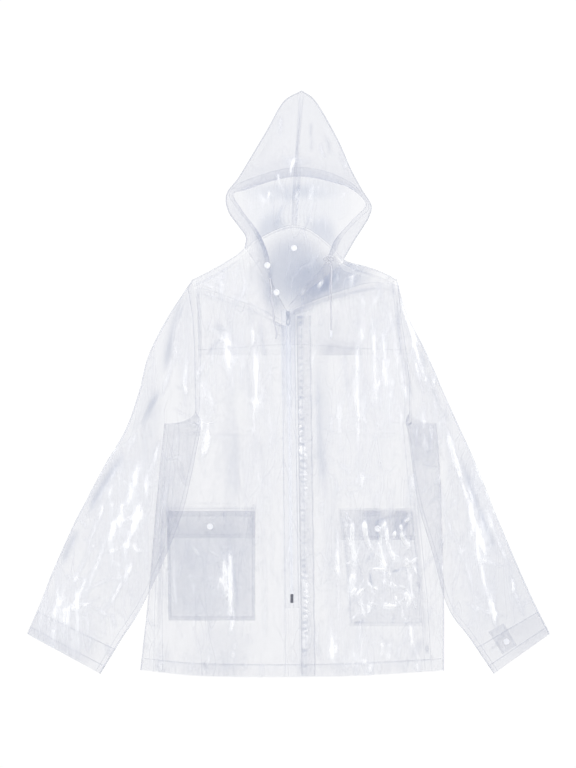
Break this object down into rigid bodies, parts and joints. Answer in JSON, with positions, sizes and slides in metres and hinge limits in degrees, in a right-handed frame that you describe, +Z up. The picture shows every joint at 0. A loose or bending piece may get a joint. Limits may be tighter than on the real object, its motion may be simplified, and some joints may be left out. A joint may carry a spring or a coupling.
{
  "type": "clear rain jacket, laid flat",
  "caption": "Hooded rain jacket of clear film with a zip, a puckered wind flap, flap pockets, shoulder yokes and a loose back cape, laid flat on its back with the hood laid upwards.",
  "frame": {"origin": "On the ground under the middle of the laid-out jacket's bounding box.", "axes": "+X towards the wearer's left, +Y from the hem towards the hood, +Z up out of the front. The jacket lies on its back."},
  "size_m": [0.9431, 1.0571, 0.0255],
  "materials": {
    "clear_film": "soft clear plastic film, glossy, slightly blue",
    "zip_tape": "pale woven tape",
    "white_plastic": "white moulded plastic",
    "dark_metal": "dark grey metal",
    "white_cord": "white braided cord"
  },
  "bodies": {
    "jacket": {"back_cape": "clear_film", "back_panel": "clear_film", "cuff_tab_left": "clear_film", "drawstring_bead_left": "white_plastic", "drawstring_left": "white_cord", "drawstring_right": "white_cord", "front_left": "clear_film", "front_right": "clear_film", "hood_left": "clear_film", "hood_right": "clear_film", "pocket_flap_left": "clear_film", "pocket_flap_right": "clear_film", "pocket_left": "clear_film", "pocket_right": "clear_film", "sleeve_left": "clear_film", "sleeve_right": "clear_film", "snap_cuff_left": "white_plastic", "snap_neck": "white_plastic", "snap_pocket_left": "white_plastic", "snap_pocket_right": "white_plastic", "snap_throat_lower": "white_plastic", "snap_throat_upper": "white_plastic", "wind_flap": "clear_film", "yoke_left": "clear_film", "yoke_right": "clear_film", "zip_box": "dark_metal", "zip_chain": "white_plastic", "zip_slider": "dark_metal", "zip_tape": "zip_tape"},
    "pull_tab": {"zip_pull": "dark_metal"}
  },
  "joints": [
    {"name": "pull_tab_hinge", "type": "hinge", "parent": "jacket", "child": "pull_tab", "pos_m": [-0.00097, 0.124, 0.0211], "axis": [-1, 0, 0], "range_deg": [0, 150]}
  ]
}
